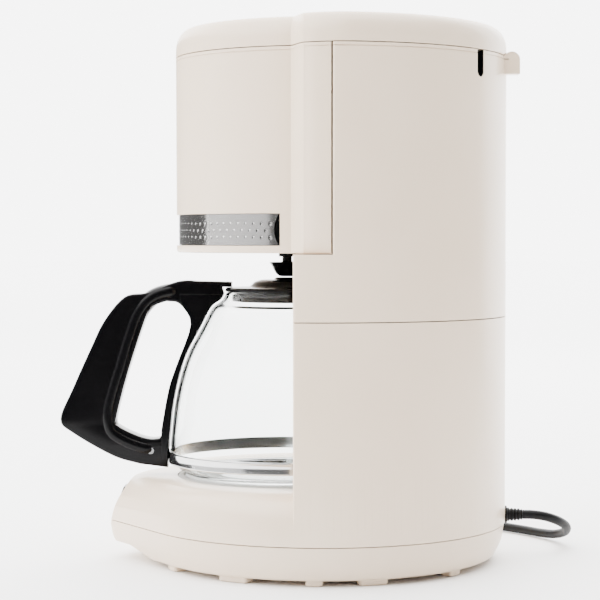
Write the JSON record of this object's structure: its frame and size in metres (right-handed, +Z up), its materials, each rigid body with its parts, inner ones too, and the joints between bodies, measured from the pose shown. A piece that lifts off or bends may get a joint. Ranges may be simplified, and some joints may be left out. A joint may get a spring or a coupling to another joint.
{
  "type": "drip coffee maker",
  "caption": "Cream drip coffee maker with round tank body, swing-out filter holder, steel trim and glass jug with black handle on a hot plate.",
  "frame": {"origin": "floor level on the jug's axis, under the centre of the hot plate", "axes": "+Z up, -Y is the front with the jug's handle, +X is the viewer's right when facing the front"},
  "size_m": [0.3238, 0.3229, 0.3269],
  "materials": {
    "cream_plastic": "satin moulded, fine sheen",
    "black_plastic": "satin gloss",
    "inner_plastic": "plain moulded",
    "brushed_steel": "brushed along its length, small dimples",
    "bright_steel": "bright",
    "plate_steel": "smooth light coating",
    "aluminium": "as cast",
    "brass": "plain",
    "silicone": "matt",
    "cord_rubber": "satin",
    "jug_glass": "clear",
    "window_plastic": "clear"
  },
  "bodies": {
    "housing": {"base_tray": "cream_plastic", "lower_housing": "cream_plastic", "tank_body": "cream_plastic", "switch_body": "black_plastic", "terminal_block": "inner_plastic", "tank_strainer": "inner_plastic", "check_valve": "inner_plastic", "riser_tube": "inner_plastic", "spray_arm": "inner_plastic", "spray_head": "inner_plastic", "tray_screw_1": "bright_steel", "tray_screw_2": "bright_steel", "tray_screw_3": "bright_steel", "tray_screw_4": "bright_steel", "heater_clamp": "bright_steel", "holder_pin_lower": "bright_steel", "holder_pin_upper": "bright_steel", "lid_pin": "bright_steel", "hot_plate": "plate_steel", "heater_tube": "aluminium", "thermostat": "brass", "thermal_fuse_1": "brass", "thermal_fuse_2": "brass", "plug_pin_left": "brass", "plug_pin_right": "brass", "plate_seal": "silicone", "inlet_hose": "silicone", "outlet_hose": "silicone", "strain_relief": "cord_rubber", "power_cord": "cord_rubber", "cord_coil": "cord_rubber", "cord_tail": "cord_rubber", "plug": "cord_rubber", "level_window": "window_plastic"},
    "lid": {"lid_cover": "cream_plastic"},
    "filter_holder": {"holder_shell": "cream_plastic", "steel_trim": "brushed_steel", "filter_basket": "black_plastic", "valve_cage": "black_plastic", "valve_spring": "bright_steel"},
    "drip_stop": {"drip_valve": "black_plastic", "valve_seal": "silicone"},
    "jug": {"jug_glass": "jug_glass", "jug_band": "bright_steel", "jug_handle": "black_plastic", "clamp_screw": "bright_steel", "jug_lid": "black_plastic", "jug_lid_pin": "bright_steel"},
    "rocker": {"switch_rocker": "black_plastic"}
  },
  "joints": [
    {"name": "lid_hinge", "type": "hinge", "parent": "housing", "child": "lid", "pos_m": [0, 0.136, 0.3065], "axis": [-1, 0, 0], "range_deg": [0, 100]},
    {"name": "holder_swing", "type": "hinge", "parent": "housing", "child": "filter_holder", "pos_m": [-0.1066, 0.0186, 0.25], "axis": [0, 0, -1], "range_deg": [0, 100]},
    {"name": "valve_lift", "type": "slide", "parent": "filter_holder", "child": "drip_stop", "axis": [0, 0, 1], "range_m": [0, 0.003], "stiffness_N_per_m": 60, "springref_m": -0.003, "deforming": ["valve_spring"]},
    {"name": "jug_slide", "type": "slide", "parent": "housing", "child": "jug", "axis": [0, -1, 0], "range_m": [0, 0.22]},
    {"name": "switch_rock", "type": "hinge", "parent": "housing", "child": "rocker", "pos_m": [0, -0.1031, 0.038], "axis": [-1, 0, 0], "range_deg": [0, 10]}
  ]
}
